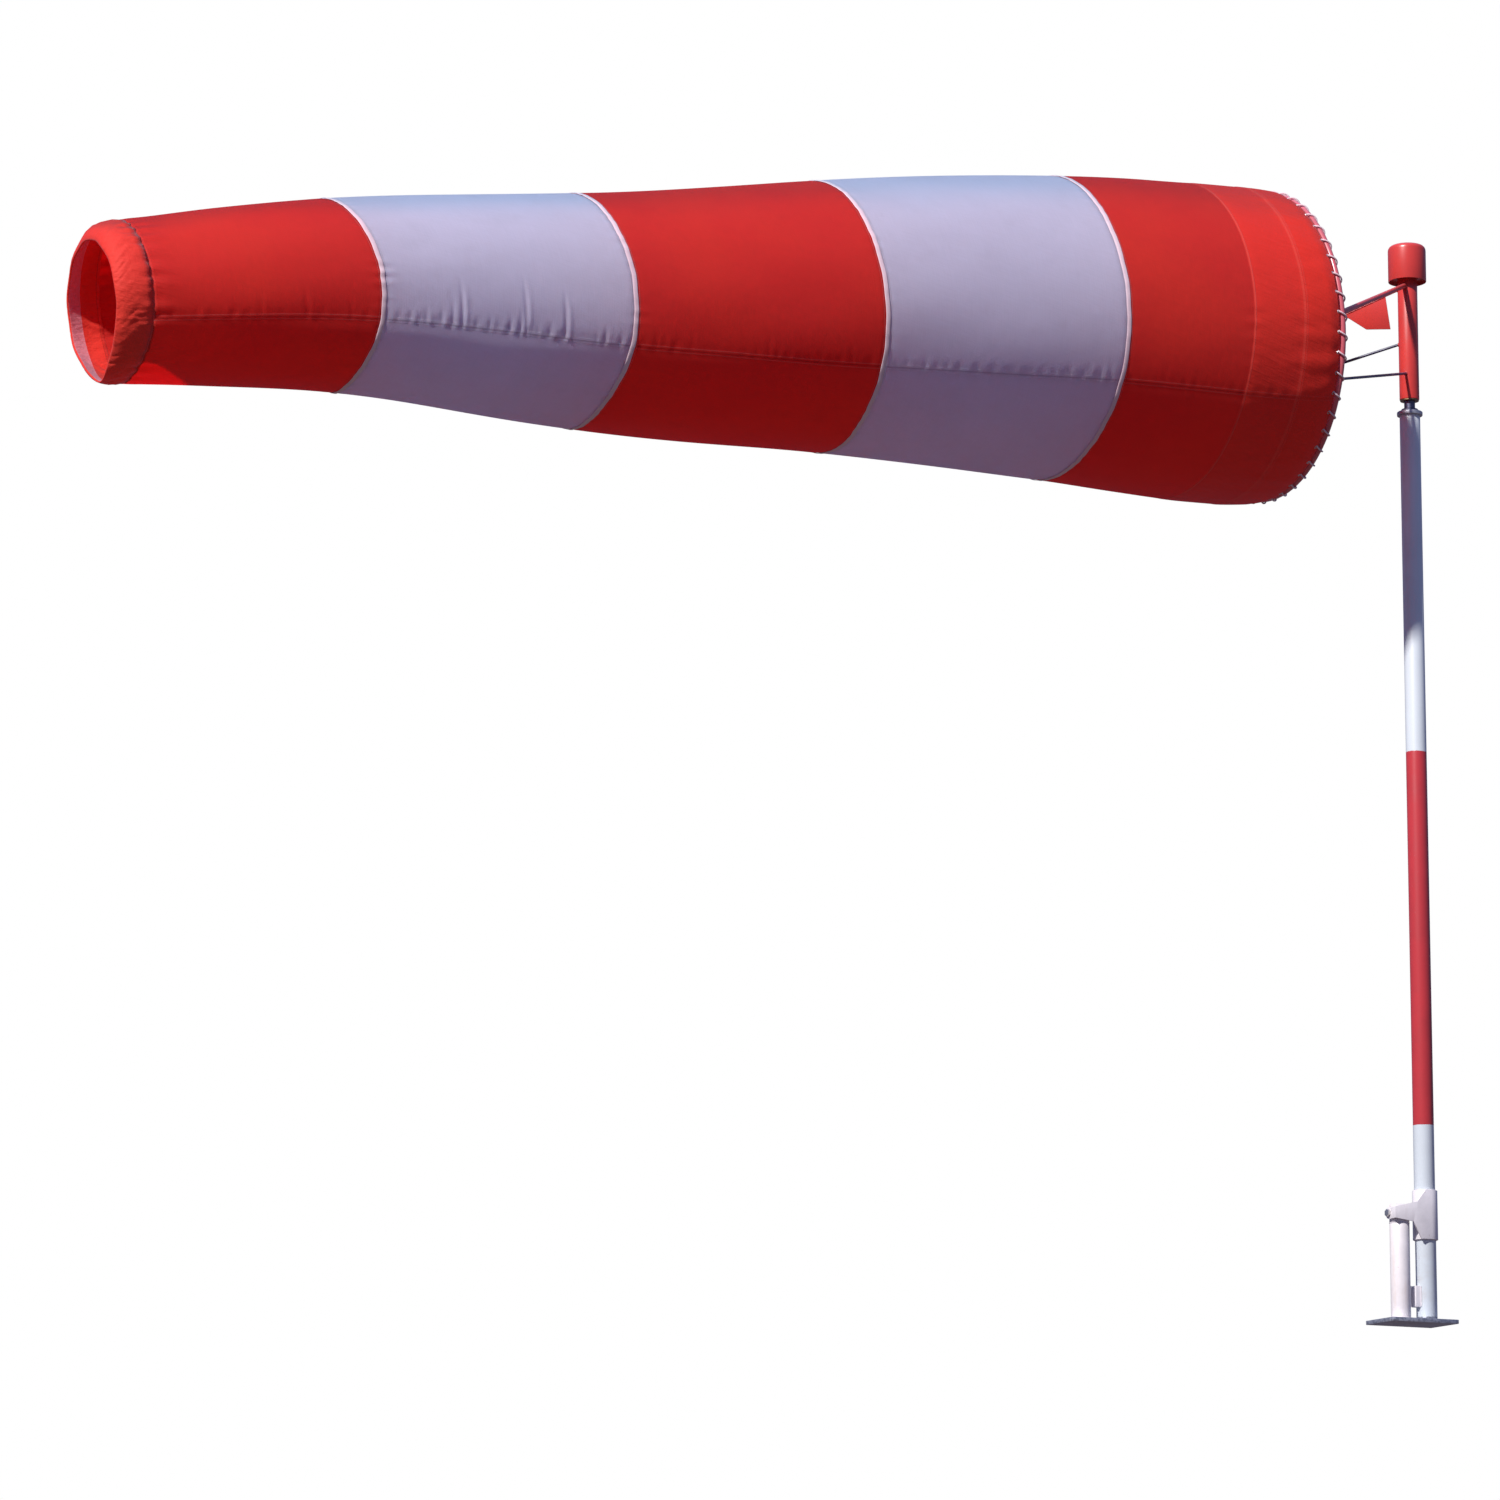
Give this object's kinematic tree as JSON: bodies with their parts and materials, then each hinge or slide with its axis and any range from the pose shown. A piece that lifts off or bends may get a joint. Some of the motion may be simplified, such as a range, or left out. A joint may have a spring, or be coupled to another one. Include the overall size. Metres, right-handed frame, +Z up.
{
  "type": "windsock with pole",
  "caption": "Airfield windsock: a striped tapered cloth sock on a free-turning ring frame, carried by a marked mast that tilts on a short post.",
  "frame": {"origin": "on the mast's axis at the underside of the base plate", "axes": "+Z up along the mast; the sock streams towards -X and its mouth faces +X; the short post stands on the -X side of the mast; +Y is the side the mast is lowered to"},
  "size_m": [4.152, 0.9178, 3.2742],
  "materials": {
    "red_paint": "satin",
    "white_paint": "satin",
    "galvanised": "matte",
    "zinc_bolt": "satin",
    "bright_steel": "satin",
    "bronze": "satin",
    "red_fabric": "matte",
    "white_fabric": "matte",
    "hem_fabric": "matte",
    "piping": "matte",
    "cord": "matte"
  },
  "bodies": {
    "stand": {"base_plate": "galvanised", "base_post": "white_paint", "post_head": "white_paint", "pivot_bush": "bronze", "latch_lug": "white_paint", "latch_bolt": "zinc_bolt", "latch_washer": "zinc_bolt"},
    "wing_nut": {"wing_nut": "zinc_bolt"},
    "mast": {"mast_tube": "white_paint", "mast_foot_cap": "galvanised", "mast_head": "galvanised", "spindle": "bright_steel", "split_pin": "bright_steel", "thrust_washer": "bronze", "spindle_nut": "zinc_bolt", "tilt_bracket": "galvanised", "pivot_bolt": "zinc_bolt", "pivot_washer_far": "zinc_bolt", "pivot_washer_near": "zinc_bolt", "latch_tongue": "galvanised"},
    "swivel": {"swivel_tube": "red_paint", "lower_bush": "bronze", "upper_bush": "bronze", "hood": "red_paint", "hood_ring": "red_paint", "throat_ring": "red_paint", "arm_near": "red_paint", "arm_far": "red_paint", "arm_web": "red_paint", "stay_rod_near": "bright_steel", "stay_rod_far": "bright_steel", "lacing_cord": "cord", "mouth_hem": "hem_fabric"},
    "band_1": {"band_1": "red_fabric", "seam_piping_1": "piping"},
    "band_2": {"band_2": "white_fabric", "seam_piping_2": "piping"},
    "band_3": {"band_3": "red_fabric", "seam_piping_3": "piping"},
    "band_4": {"band_4": "white_fabric", "seam_piping_4": "piping"},
    "band_5": {"band_5": "red_fabric", "tail_hem": "hem_fabric", "tail_drawcord": "cord"}
  },
  "joints": [
    {"name": "mast_tilt", "type": "hinge", "parent": "stand", "child": "mast", "pos_m": [-0.086, 0, 0.315], "axis": [-1, 0, 0], "range_deg": [0, 75]},
    {"name": "wing_nut_turn", "type": "hinge", "parent": "stand", "child": "wing_nut", "pos_m": [-0.0361, 0.058, 0.08], "axis": [1, 0, 0], "continuous": true},
    {"name": "swivel_turn", "type": "hinge", "parent": "mast", "child": "swivel", "pos_m": [0, 0, 2.718], "axis": [0, 0, 1], "continuous": true},
    {"name": "droop_1", "type": "hinge", "parent": "swivel", "child": "band_1", "pos_m": [-0.64984, 0, 3.27125], "axis": [0, -1, 0], "range_deg": [-2, 16]},
    {"name": "droop_2", "type": "hinge", "parent": "band_1", "child": "band_2", "pos_m": [-1.19579, 0, 3.23101], "axis": [0, -1, 0], "range_deg": [-2, 16]},
    {"name": "droop_3", "type": "hinge", "parent": "band_2", "child": "band_3", "pos_m": [-1.9386, 0, 3.12893], "axis": [0, -1, 0], "range_deg": [-2, 16]},
    {"name": "droop_4", "type": "hinge", "parent": "band_3", "child": "band_4", "pos_m": [-2.64091, 0, 3.00259], "axis": [0, -1, 0], "range_deg": [-2, 16]},
    {"name": "droop_5", "type": "hinge", "parent": "band_4", "child": "band_5", "pos_m": [-3.36602, 0, 2.90211], "axis": [0, -1, 0], "range_deg": [-2, 16]}
  ]
}
